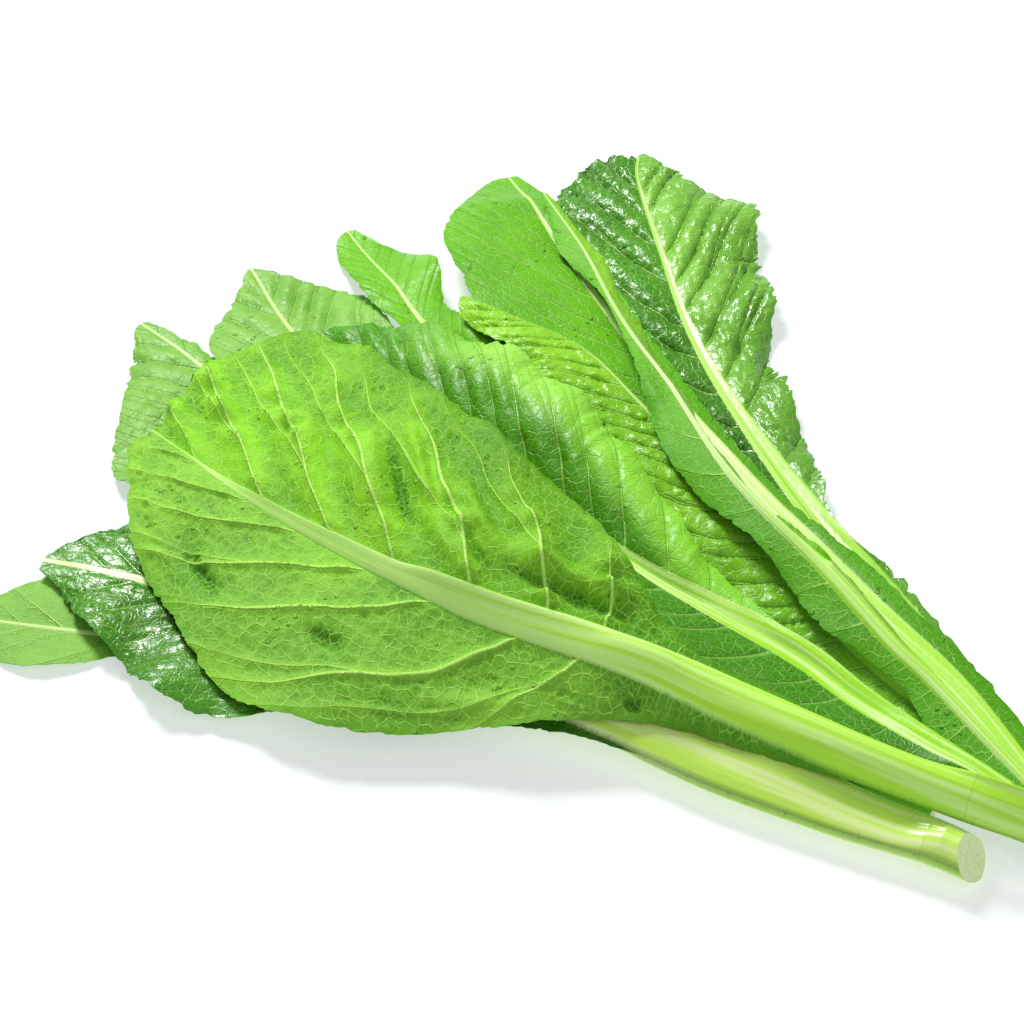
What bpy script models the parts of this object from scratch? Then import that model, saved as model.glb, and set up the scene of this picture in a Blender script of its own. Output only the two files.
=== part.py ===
"""Mustard greens: one bunch of two young plants, cut through their stems and laid on a surface.

Each leaf is one thin closed solid that runs from the foot of its stalk to its tip, on a smooth
spine. The stalk's rib thins out along the blade, each half of the blade has its own reach, fold
and curl, and its margin is waved and toothed. The leaves are laid down one by one, from the
lowest to the topmost, and each is lifted just enough to drape over what already lies there.
Lengths are in metres, with +Z up and the surface at zero height.
"""

from typing import NamedTuple

import bpy
import numpy as np
from mathutils import Vector
from mathutils.bvhtree import BVHTree

MM = 0.001

# The grid of a leaf: stations from foot to tip, and columns from the rib out to each margin
STATIONS = 33
STALK_COLUMNS = (0.0, 0.42, 0.74, 0.93, 1.0)
BLADE_COLUMNS = (0.0, 0.0, 0.33, 0.68, 1.0)
STATION_CROWDING = 1.4

# What all the leaves share
BLADE_THICKNESS = 0.9 * MM
RIB_WIDTH_ALONG = (0.64, 0.8, 1.0, 0.78, 0.5, 0.3, 0.18, 0.1)
RIB_DEPTH_ALONG = (0.72, 0.85, 0.95, 0.62, 0.33, 0.18, 0.1, 0.05)
CHANNEL_FOLD = 14.0
TIP_ROUND = 20
TIP_BLUNT = 0.99
MARGIN_TOOTH = 1.1 * MM

# How the leaves are laid
CLEARANCE = 1.3 * MM
DRAPE_ROUNDS = 22
FINER = 5
RAY_START = 1.0
FLAT_BELOW = 2.4 * MM

# Where a leaf's stalk meets the cut stem of its plant
STEM_STATIONS = 4
NODE_GAP = 0.4 * MM

STEM_COLOUR = (0.55, 0.72, 0.3)
ROUGHNESS = 0.42


class Leaf(NamedTuple):
    """One leaf. Lengths are in millimetres and angles in degrees. What holds several values is
    read evenly from the foot of the stalk to the tip, and pairs are for the two halves."""

    name: str
    # Points on the middle of the leaf, and how far each half of the blade reaches past the rib
    spine: tuple
    reach: tuple
    colour: tuple = (0.16, 0.42, 0.03)
    # The twist about the spine, the rise of each half at the rib, and its bend out to the margin
    roll: tuple = (0.0, 0.0)
    fold: tuple = ((8.0, 8.0), (8.0, 8.0))
    curl: tuple = ((-10.0, -10.0), (-10.0, -10.0))
    # The rib's width and depth where it is widest
    rib: tuple = (17.0, 8.0)
    # How far the blade leans towards the tip for each length out from the rib
    sweep: float = 0.2
    # How well the leaf keeps its cross-sections where it lies over others
    stiff: float = 0.0
    # The height and number of the waves in the margin, and where they begin
    ruffle: float = 3.0
    waves: float = 7.0
    phase: float = 0.0
    # Whether the leaf lies on its underside (1) or on its upper side (-1)
    face: int = 1
    # The share of the spine that is cut stem, its extra thickness, and the slant of its cut
    stem: float = 0.0
    heel: float = 0.0
    cut_lean: float = 0.0


# From the lowest leaf to the topmost
LEAVES = (
    Leaf(
        name="leaf_far_left",
        spine=((128, -137, 5), (89, -117, 4), (28, -91, 3), (-36, -72, 3), (-101, -61, 3),
               (-147, -56, 3), (-184, -49, 2)),
        reach=(
            (0, 0, 0, 1, 4, 8, 10, 11, 6, 19, 12),
            (0, 0, 0, 1, 6, 18, 28, 33, 32, 26, 5),
        ),
        colour=(0.34, 0.52, 0.2),
        rib=(13, 6),
        face=-1,
        ruffle=2,
        waves=6,
    ),
    Leaf(
        name="leaf_back",
        spine=((167, -131, 5), (144, -87, 5), (124, -50, 5), (104, -12, 6), (78, 46, 8), (64, 85, 10),
               (56, 123, 12), (48, 168, 12), (48, 184, 11)),
        reach=(
            (0, 1, 2, 3, 10, 24, 36, 43, 44, 44, 37),
            (0, 3, 3, 3, 0, 13, 18, 32, 34, 39, 13),
        ),
        colour=(0.08, 0.3, 0.02),
        rib=(12, 6),
        ruffle=4,
        waves=7,
        fold=((10, 10), (10, 14)),
        curl=((-20, -30), (-20, -30)),
    ),
    Leaf(
        name="leaf_low",
        spine=((138, -156, 9), (128, -150, 8), (100, -137, 6), (70, -121, 5), (40, -104, 5),
               (12, -92, 5), (-23, -78, 5), (-62, -64, 5), (-102, -45, 5), (-133, -35, 5),
               (-153, -28, 4)),
        reach=(
            (0, 0, 2, 3, 4, 10, 20, 38, 40, 28, 9),
            (0, 0, 4, 10, 20, 32, 38, 40, 38, 38, 13),
        ),
        colour=(0.06, 0.24, 0.03),
        rib=(23, 8.5),
        ruffle=3,
        waves=8,
        stem=0.045,
        heel=4.5,
        cut_lean=0.5,
    ),
    Leaf(
        name="leaf_upper_left",
        spine=((128, -136, 5), (89, -117, 5), (59, -97, 5), (-4, -46, 5), (-55, 14, 5), (-109, 69, 5),
               (-132, 93, 3)),
        reach=(
            (0, 0, 0, 2, 14, 34, 44, 48, 60, 36, 16),
            (0, 0, 0, 2, 12, 22, 24, 20, 12, 8, 4),
        ),
        colour=(0.28, 0.52, 0.12),
        rib=(11, 5),
        ruffle=3,
        waves=7,
    ),
    Leaf(
        name="leaf_behind",
        spine=((142, -124, 5), (110, -98, 5), (80, -73, 5), (16, -19, 5), (-39, 32, 5), (-76, 83, 4),
               (-95, 123, 3)),
        reach=(
            (0, 0, 0, 2, 12, 26, 34, 36, 34, 31, 8),
            (0, 0, 0, 4, 16, 26, 30, 30, 30, 31, 11),
        ),
        colour=(0.28, 0.52, 0.12),
        rib=(11, 4.5),
        ruffle=2,
        waves=6,
    ),
    Leaf(
        name="leaf_broad",
        spine=((164, -139, 5), (140, -93, 5), (113, -55, 5), (77, 5, 5), (49, 60, 6), (23, 113, 8),
               (0, 174, 8)),
        reach=(
            (0, 0, 0, 6, 22, 38, 47, 50, 40, 40, 27),
            (0, 0, 0, 1, 3, 4, 5, 6, 8, 9, 6),
        ),
        rib=(12, 5),
        ruffle=1.5,
        waves=4,
        fold=((14, 20), (10, 10)),
        curl=((-10, -24), (-10, -10)),
    ),
    Leaf(
        name="leaf_small",
        spine=((147, -128, 5), (110, -93, 5), (81, -53, 5), (30, 0, 5), (-11, 51, 6), (-31, 83, 8),
               (-46, 115, 10), (-60, 143, 12)),
        reach=(
            (0, 0, 0, 0, 2, 8, 12, 14, 7, 13, 12),
            (0, 0, 0, 0, 2, 6, 10, 14, 9, 19, 6),
        ),
        rib=(8, 4),
        ruffle=3,
        waves=9,
    ),
    Leaf(
        name="leaf_wrinkled",
        spine=((158, -135, 5), (133, -100, 5), (111, -72, 5), (82, -28, 5), (46, 27, 5), (25, 58, 5),
               (0, 75, 6), (-15, 85, 6)),
        reach=(
            (0, 0, 4, 14, 24, 30, 32, 30, 24, 17, 16),
            (0, 0, 0, 4, 8, 8, 7, 6, 5, 4, 2),
        ),
        rib=(12, 5),
        fold=((-8, -8), (-50, -50)),
        ruffle=2,
        waves=9,
    ),
    Leaf(
        name="leaf_folded",
        spine=((164, -147, 5), (133, -100, 5), (119, -83, 6), (98, -52, 8), (71, -11, 8), (48, 49, 8),
               (36, 83, 8), (26, 118, 6), (13, 152, 4)),
        reach=(
            (0, 12, 5, 11, 7, 13, 11, 4, 1, 8, 3),
            (0, 2, 4, 8, 10, 10, 10, 9, 8, 6, 3),
        ),
        rib=(10, 5),
        fold=((-20, -20, -14), (-60, -60, -25)),
        stiff=0.85,
        ruffle=2,
        waves=8,
        face=-1,
    ),
    Leaf(
        name="leaf_rolled",
        spine=((149, -140, 5), (111, -104, 5), (91, -82, 5), (61, -58, 5), (35, -36, 5), (-4, 6, 5),
               (-39, 47, 6), (-66, 79, 6)),
        reach=(
            (0, 2, 10, 24, 36, 42, 44, 42, 36, 26, 14),
            (0, 0, 0, 0, 10, 26, 35, 40, 35, 29, 16),
        ),
        rib=(12, 6),
        fold=((14, 20, 20), (14, 50, 62, 62, 45)),
        curl=((10, 10), (0, -60, -90, -90, -50)),
        stiff=0.5,
        ruffle=1.5,
        waves=9,
    ),
    Leaf(
        name="leaf_front",
        spine=((174, -159, 6), (154, -150, 6), (135, -142, 6), (105, -127, 6), (70, -109, 6),
               (27, -89, 8), (-10, -73, 10), (-33, -59, 12), (-57, -41, 12), (-82, -19, 10),
               (-102, 2, 8), (-121, 25, 6)),
        reach=(
            (0, 0, 0, 3, 8, 28, 52, 56, 46, 33, 24),
            (0, 0, 2, 3, 9, 48, 58, 66, 67, 75, 84),
        ),
        sweep=0.35,
        colour=(0.3, 0.52, 0.1),
        rib=(18, 9),
        stem=0.112,
        heel=3.5,
        cut_lean=0.15,
        face=-1,
        ruffle=1.6,
        waves=7,
        stiff=0.35,
        fold=((-6, -4), (6, 10)),
        curl=((-10, -14), (0, -8)),
    ),
)


def smooth(values, share):
    """A smooth curve through evenly spaced values, read at each share of its length."""
    values = np.asarray(values, float)
    last = len(values) - 1
    place = np.clip(share, 0, 1) * last
    i = np.minimum(place.astype(int), last - 1)
    x = (place - i).reshape((-1,) + (1,) * (values.ndim - 1))
    before, after = values[np.maximum(i - 1, 0)], values[np.minimum(i + 2, last)]
    start, end = values[i], values[i + 1]
    slope_in, slope_out = (end - before) / 2, (after - start) / 2
    return (
        start * (1 + 2 * x) * (1 - x) ** 2
        + end * x * x * (3 - 2 * x)
        + slope_in * x * (1 - x) ** 2
        - slope_out * x * x * (1 - x)
    )


def spine_frame(leaf, share):
    """Points on the spine at shares of its length, with the directions along, aside and up there."""
    fine = smooth(np.array(leaf.spine) * MM, np.linspace(0, 1, 241))
    run = np.concatenate([[0], np.cumsum(np.linalg.norm(np.diff(fine, axis=0), axis=1))])
    at = share * run[-1]
    point = np.stack([np.interp(at, run, fine[:, k]) for k in range(3)], 1)
    step = np.gradient(fine, run, axis=0)
    along = np.stack([np.interp(at, run, step[:, k]) for k in range(3)], 1)
    along /= np.linalg.norm(along, axis=1, keepdims=True)
    aside = np.cross(along, (0, 0, 1))
    aside /= np.linalg.norm(aside, axis=1, keepdims=True)
    up = np.cross(aside, along)
    turn = np.radians(smooth(leaf.roll, share))[:, None]
    turned_aside = np.cos(turn) * aside + np.sin(turn) * up
    turned_up = np.cos(turn) * up - np.sin(turn) * aside
    return point, along, turned_aside, turned_up


def blade_reach(leaf, side, share):
    """How far the blade reaches past the rib. It ends round at the tip."""
    reach = smooth(leaf.reach[side], share) * np.sqrt(1 - (TIP_BLUNT * share) ** TIP_ROUND)
    return MM * np.maximum(reach, 0)


def station_shares(leaf):
    """Where the stations lie along the spine: a few on the stem, then closer towards the tip."""
    u = np.linspace(0, 1, STATIONS)
    blade = leaf.stem + (1 - leaf.stem) * (1 - (1 - u) ** STATION_CROWDING)
    stem = np.linspace(0, leaf.stem, STEM_STATIONS)[:-1]
    return np.concatenate([stem, blade]) if leaf.stem else blade


def half_leaf(leaf, side, share):
    """One half of a leaf as (points, normals, depth of its rib) for each station and column."""
    sign = 1 if side else -1
    point, along, aside, up = spine_frame(leaf, share)
    rib = leaf.rib[0] / 2 * MM * smooth(RIB_WIDTH_ALONG, share)
    blade = blade_reach(leaf, side, share)
    teeth = MARGIN_TOOTH * np.where(np.arange(len(share)) % 2, 1, -1) * np.clip(blade / (8 * MM), 0, 1)
    wave = 1 + 0.035 * np.sin(2 * np.pi * leaf.waves * 0.7 * share + leaf.phase + 2 * side)
    blade = blade * wave + np.where(share < 1, teeth, 0)
    open_share = np.clip(blade / rib, 0, 1)[:, None]
    spread = np.clip(blade / (3 * rib), 0, 1)[:, None]
    out = (
        rib[:, None] * ((1 - open_share) * STALK_COLUMNS + open_share * np.minimum(np.arange(5), 1))
        + blade[:, None] * ((1 - open_share) * STALK_COLUMNS + open_share * BLADE_COLUMNS)
    )
    full = (rib + blade)[:, None]
    channel = leaf.face * CHANNEL_FOLD
    fold = np.radians((1 - spread) * channel + spread * smooth(leaf.fold[side], share)[:, None])
    curl = np.radians(spread * smooth(leaf.curl[side], share)[:, None])
    curl = np.where(np.abs(curl) < 1e-4, 1e-4, curl)
    angle = fold + curl * out / full
    x = full / curl * (np.sin(angle) - np.sin(fold))
    z = full / curl * (np.cos(fold) - np.cos(angle))
    past_rib = np.clip((out - rib[:, None]) / np.maximum(full - rib[:, None], 1e-6), 0, 1)
    ripple = leaf.ruffle * MM * past_rib**2 * np.clip(blade / (20 * MM), 0, 1)[:, None]
    ripple = ripple * np.sin(2 * np.pi * leaf.waves * share + leaf.phase + 1.7 * side)[:, None]
    sideways, upwards = (sign * aside)[:, None], up[:, None]
    lean = angle * np.clip(out / rib[:, None], 0, 1)
    normals = np.cos(lean)[..., None] * upwards - np.sin(lean)[..., None] * sideways
    points = point[:, None] + x[..., None] * sideways + z[..., None] * upwards + ripple[..., None] * normals
    sweep = leaf.sweep * (1 - share**10)[:, None]
    points += (sweep * np.maximum(out - rib[:, None], 0))[..., None] * along[:, None]
    depth = leaf.rib[1] * MM * smooth(RIB_DEPTH_ALONG, share)[:, None]
    relief = depth * np.sqrt(np.clip(1 - (out / rib[:, None]) ** 2, 0, 1))
    return points, normals, relief


def leaf_skins(leaf):
    """The leaf's upper and lower skin as two grids of points. The rib swells out of the underside,
    which is on top where the leaf lies on its upper side."""
    share = station_shares(leaf)
    left, right = half_leaf(leaf, 0, share), half_leaf(leaf, 1, share)
    points, normals, relief = (
        np.concatenate([a[:, :0:-1], b], axis=1) for a, b in zip(left, right)
    )
    heel = leaf.heel * MM * np.clip(1.5 - share / max(leaf.stem, 0.01), 0, 1)[:, None]
    roundness = relief / relief.max(axis=1, keepdims=True)
    smooth_side, ribbed_side = BLADE_THICKNESS / 2 + heel * roundness, BLADE_THICKNESS / 2 + relief
    above, below = (smooth_side, ribbed_side) if leaf.face > 0 else (ribbed_side, smooth_side)
    above, below = np.broadcast_to(above, relief.shape), np.broadcast_to(below, relief.shape)
    upper, lower = points + above[..., None] * normals, points - below[..., None] * normals
    cut = leaf.cut_lean * np.clip(1 - share / max(leaf.stem, 0.01), 0, 1)[:, None]
    foot, along = spine_frame(leaf, share)[:2]
    for skin in (upper, lower):
        skin += (cut * (skin[..., 2] - foot[0, 2]))[..., None] * along[0]
    return upper, lower


def refined(grid, times):
    """The points of a grid read more finely on its two triangles to a cell."""
    rows, columns = grid.shape[:2]
    row = np.linspace(0, rows - 1, (rows - 1) * times + 1)[:, None]
    column = np.linspace(0, columns - 1, (columns - 1) * times + 1)[None, :]
    i = np.minimum(row.astype(int), rows - 2)
    j = np.minimum(column.astype(int), columns - 2)
    u, v = (row - i)[..., None], (column - j)[..., None]
    near, far, beyond, aside = grid[i, j], grid[i + 1, j], grid[i + 1, j + 1], grid[i, j + 1]
    first = near + (far - near) * u + (beyond - far) * v
    second = near + (beyond - aside) * u + (aside - near) * v
    return np.where(u > v, first, second)


def height_under(tree, x, y):
    """The height of whatever already lies at a spot, which is the surface where nothing does."""
    hit = tree.ray_cast(Vector((x, y, RAY_START)), Vector((0, 0, -1)))[0] if tree else None
    return hit.z + CLEARANCE if hit else 0.0


def blurred(values):
    """Each value as the mean of itself and its four neighbours."""
    wide = np.pad(values, 1, mode="edge")
    across = wide[1:-1, :-2] + wide[1:-1, 2:]
    return (wide[1:-1, 1:-1] * 2 + wide[:-2, 1:-1] + wide[2:, 1:-1] + across) / 6


def drape(skins, tree, stiff):
    """Lifts both skins of a leaf alike, smoothly, until they clear what lies below, and sinks them
    where they lie clear of it. A stiff leaf is lifted over its whole width."""
    fine = [refined(skin, FINER) for skin in skins]
    needs = []
    for skin in fine:
        needs.append([[height_under(tree, p[0], p[1]) - p[2] for p in row] for row in skin])
    need = np.max(needs, axis=0)
    rows, columns = skins[0].shape[:2]
    wide = np.pad(need, FINER, mode="edge")
    reach = 2 * FINER + 1
    around = np.lib.stride_tricks.sliding_window_view(wide, (reach, reach))[::FINER, ::FINER]
    need = around.max(axis=(2, 3))[:rows, :columns]
    most = need.max(axis=1, keepdims=True)
    need = np.maximum(need, np.where(most > 0, stiff * most, most))
    lift = need
    for _ in range(DRAPE_ROUNDS):
        lift = np.maximum(need, blurred(lift))
    return [skin + lift[..., None] * (0, 0, 1) for skin in skins]


def parted(leaf, upper, lower):
    """A leaf's skins by name, parted by a hair's breadth from those of the stem that carries it."""
    if not leaf.stem:
        return [(leaf.name, (upper, lower))]
    node = STEM_STATIONS - 1
    stem = leaf.name.replace("leaf", "stem"), (upper[: node + 1], lower[: node + 1])
    upper, lower = upper[node:].copy(), lower[node:].copy()
    for skin in (upper, lower):
        step = skin[1] - skin[0]
        skin[0] += step * NODE_GAP / np.linalg.norm(step, axis=1, keepdims=True)
    return [stem, (leaf.name, (upper, lower))]


def grid_faces(rows, columns):
    """The faces of a closed slab made of an upper grid of points followed by a lower one."""
    count = rows * columns
    index = np.arange(count).reshape(rows, columns)
    cells = np.stack([index[:-1, :-1], index[1:, :-1], index[1:, 1:], index[:-1, 1:]], -1).reshape(-1, 4)
    ring = np.concatenate([index[0, :], index[1:, -1], index[-1, -2::-1], index[-2:0:-1, 0]])
    rim = [(a + count, b + count, b, a) for a, b in zip(np.roll(ring, 1), ring)]
    halves = [(c[0], c[1], c[2]) for c in cells] + [(c[0], c[2], c[3]) for c in cells]
    upper = [tuple(reversed(face)) for face in halves]
    lower = [tuple(i + count for i in face) for face in halves]
    return [tuple(int(i) for i in face) for face in upper + lower + rim]


def add_solid(name, points, faces, colour, roughness):
    """One named object with its own material, smoothly shaded."""
    mesh = bpy.data.meshes.new(name)
    mesh.from_pydata([tuple(map(float, p)) for p in points], [], faces)
    mesh.validate()
    material = bpy.data.materials.new(name)
    material.use_nodes = True
    shader = material.node_tree.nodes["Principled BSDF"]
    shader.inputs["Base Color"].default_value = (*colour, 1)
    shader.inputs["Roughness"].default_value = roughness
    mesh.materials.append(material)
    item = bpy.data.objects.new(name, mesh)
    bpy.context.scene.collection.objects.link(item)
    mesh.shade_smooth()
    return item


def main():
    for item in list(bpy.data.objects):
        bpy.data.objects.remove(item)
    solids = []
    laid_points = []
    laid_faces = []
    for leaf in LEAVES:
        tree = BVHTree.FromPolygons(laid_points, laid_faces) if laid_faces else None
        upper, lower = drape(leaf_skins(leaf), tree, leaf.stiff)
        # Low parts under the ribs are flattened, and carry the bunch
        under_rib = lower[:, len(STALK_COLUMNS) - 2 : len(STALK_COLUMNS) + 1, 2]
        under_rib[under_rib < FLAT_BELOW] = 0
        for name, skins in parted(leaf, upper, lower):
            points = np.concatenate([skin.reshape(-1, 3) for skin in skins])
            faces = grid_faces(*skins[0].shape[:2])
            solids.append((name, points, faces, leaf.colour if name == leaf.name else STEM_COLOUR))
            start = len(laid_points)
            laid_points += [tuple(p) for p in points]
            laid_faces += [tuple(i + start for i in face) for face in faces]
    every = np.concatenate([solid[1] for solid in solids])
    middle = (every.min(axis=0) + every.max(axis=0)) / 2 * (1, 1, 0)
    for name, points, faces, colour in solids:
        add_solid(name, points - middle, faces, colour, ROUGHNESS)


main()
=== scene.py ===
# %% [markdown]
# # A bunch of mustard greens
# The object is a loose bunch of eleven long-stalked leaves, fanned out from two cut stems and laid
# on a table. A measured model of it comes first, as plain solids. Each leaf is then modelled again
# over its own solid, in the same place, with the veins, puckers and toothed margins that a real
# leaf has.

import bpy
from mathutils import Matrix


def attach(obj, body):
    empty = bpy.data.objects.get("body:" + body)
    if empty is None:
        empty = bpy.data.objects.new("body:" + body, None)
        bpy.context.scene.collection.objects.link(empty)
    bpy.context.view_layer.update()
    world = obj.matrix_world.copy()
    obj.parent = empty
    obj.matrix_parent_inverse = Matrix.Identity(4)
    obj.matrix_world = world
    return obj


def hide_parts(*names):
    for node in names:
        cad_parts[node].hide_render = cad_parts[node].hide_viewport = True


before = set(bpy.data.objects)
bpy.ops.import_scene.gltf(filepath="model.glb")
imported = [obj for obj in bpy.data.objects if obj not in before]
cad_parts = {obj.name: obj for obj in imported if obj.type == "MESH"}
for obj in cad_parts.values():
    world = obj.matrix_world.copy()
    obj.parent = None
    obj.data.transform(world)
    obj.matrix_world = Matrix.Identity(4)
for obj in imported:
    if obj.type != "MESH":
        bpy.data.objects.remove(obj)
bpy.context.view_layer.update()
print("measured nodes:", sorted(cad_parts))

# %% Libraries and units
from typing import NamedTuple

import bpy
import numpy as np
from mathutils import Vector
from mathutils.bvhtree import BVHTree

MM = 0.001

# %% [markdown]
# ## The camera
# Greens for a shop are photographed from above and in front, with a long lens, so that the leaves
# hardly shrink with distance. One metre away and 45 degrees up, a pixel in the middle of a square
# picture covers about a third of a millimetre. The camera could be aimed by a constraint, but a
# rotation worked out once is plainer and stays put.

# %% Place the camera
CAMERA_ELEVATION = 45.0
CAMERA_DISTANCE = 1.0
MM_PER_PIXEL = 0.34
PICTURE_PIXELS = 1024
CAMERA_TARGET = Vector((0.0043, -0.01, 0.0))

bpy.ops.object.select_all(action="DESELECT")
bpy.ops.object.camera_add()
camera = bpy.context.object
camera.name = "camera"
elevation = np.radians(CAMERA_ELEVATION)
camera_back = Vector((0, -np.cos(elevation), np.sin(elevation)))
camera.location = CAMERA_TARGET + CAMERA_DISTANCE * camera_back
camera.rotation_euler = (np.pi / 2 - elevation, 0, 0)
picture_width = PICTURE_PIXELS * MM_PER_PIXEL * MM
camera.data.lens = camera.data.sensor_width * CAMERA_DISTANCE / picture_width
bpy.context.scene.camera = camera
print("lens", round(camera.data.lens, 1), "mm")

# %% [markdown]
# ## The table and the light
# The bunch lies on a lit white panel, as on a shop photographer's table. The panel glows, so the
# shadow on it stays pale while the gaps between the leaves go dark. A lamp about as wide as the
# bunch hangs high behind it, throws that shadow towards the viewer and draws the shine on the
# leaves. A much larger one over the viewer's shoulder opens the shade. A white table without a
# glow would need so much light from all around that the leaves would look flat.

# %% Lay the table
TABLE_WIDTH = 6.0
TABLE_GREY = (0.53, 0.56, 0.57, 1)
TABLE_GLOW = (0.97, 1.0, 1.0, 1)

bpy.ops.object.select_all(action="DESELECT")
bpy.ops.mesh.primitive_plane_add(size=TABLE_WIDTH, location=(0, 0, 0))
table = bpy.context.object
table.name = "table"
table_material = bpy.data.materials.new("table_white")
table_material.use_nodes = True
table_shader = table_material.node_tree.nodes["Principled BSDF"]
table_shader.inputs["Base Color"].default_value = TABLE_GREY
table_shader.inputs["Roughness"].default_value = 0.8
table_shader.inputs["Emission Color"].default_value = TABLE_GLOW
table_shader.inputs["Emission Strength"].default_value = 0.5
table.data.materials.append(table_material)
print("table", TABLE_WIDTH, "m wide")

# %% Hang the lamps
def hang_lamp(name, place, size, watts):
    """A square soft lamp that faces the bunch."""
    bpy.ops.object.select_all(action="DESELECT")
    bpy.ops.object.light_add(type="AREA", location=place)
    lamp = bpy.context.object
    lamp.name = name
    lamp.data.size = size
    lamp.data.energy = watts
    lamp.rotation_euler = (-Vector(place)).to_track_quat("-Z", "Y").to_euler()


hang_lamp("lamp_behind", place=(-0.4, 0.8, 1.0), size=0.35, watts=19)
hang_lamp("lamp_front", place=(0.7, -1.0, 1.5), size=1.2, watts=9)

# %% Light from all around
SURROUNDINGS = 0.25

world = bpy.context.scene.world or bpy.data.worlds.new("surroundings")
bpy.context.scene.world = world
world.use_nodes = True
background = world.node_tree.nodes["Background"]
background.inputs["Color"].default_value = (1, 1, 1, 1)
background.inputs["Strength"].default_value = SURROUNDINGS
bpy.context.scene.view_settings.view_transform = "Standard"

# %% [markdown]
# ## What a mustard leaf is
# A leaf is a thick stalk that thins out into the midrib, with a broad thin blade on either side.
# Here it is described as a grower would: where its midrib runs, how far the blade reaches out on
# the left and on the right, and how each half is folded and curled. The same values gave the
# measured solids, so the detailed leaves land on them. Modelling by eye would drift off them.

# %% Describe a leaf
class Leaf(NamedTuple):
    """One leaf. Lengths are in millimetres and angles in degrees. What holds several values is
    read evenly from the foot of the stalk to the tip, and pairs are for the two halves."""

    name: str
    # Points on the middle of the leaf, and how far each half of the blade reaches past the rib
    spine: tuple
    reach: tuple
    # The rise of each half at the rib, and its bend out to the margin
    fold: tuple = ((8.0, 8.0), (8.0, 8.0))
    curl: tuple = ((-10.0, -10.0), (-10.0, -10.0))
    # The rib's width and depth where it is widest
    rib: tuple = (17.0, 8.0)
    # How far the blade leans towards the tip for each length out from the rib
    sweep: float = 0.2
    # How well the leaf keeps its cross-sections where it lies over others
    stiff: float = 0.0
    # The height and number of the waves in the margin
    ruffle: float = 3.0
    waves: float = 7.0
    # Whether the leaf lies on its underside (1) or on its upper side (-1)
    face: int = 1
    # The share of the spine that is cut stem, its extra thickness, and the slant of its cut
    stem: float = 0.0
    heel: float = 0.0
    cut_lean: float = 0.0


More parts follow.
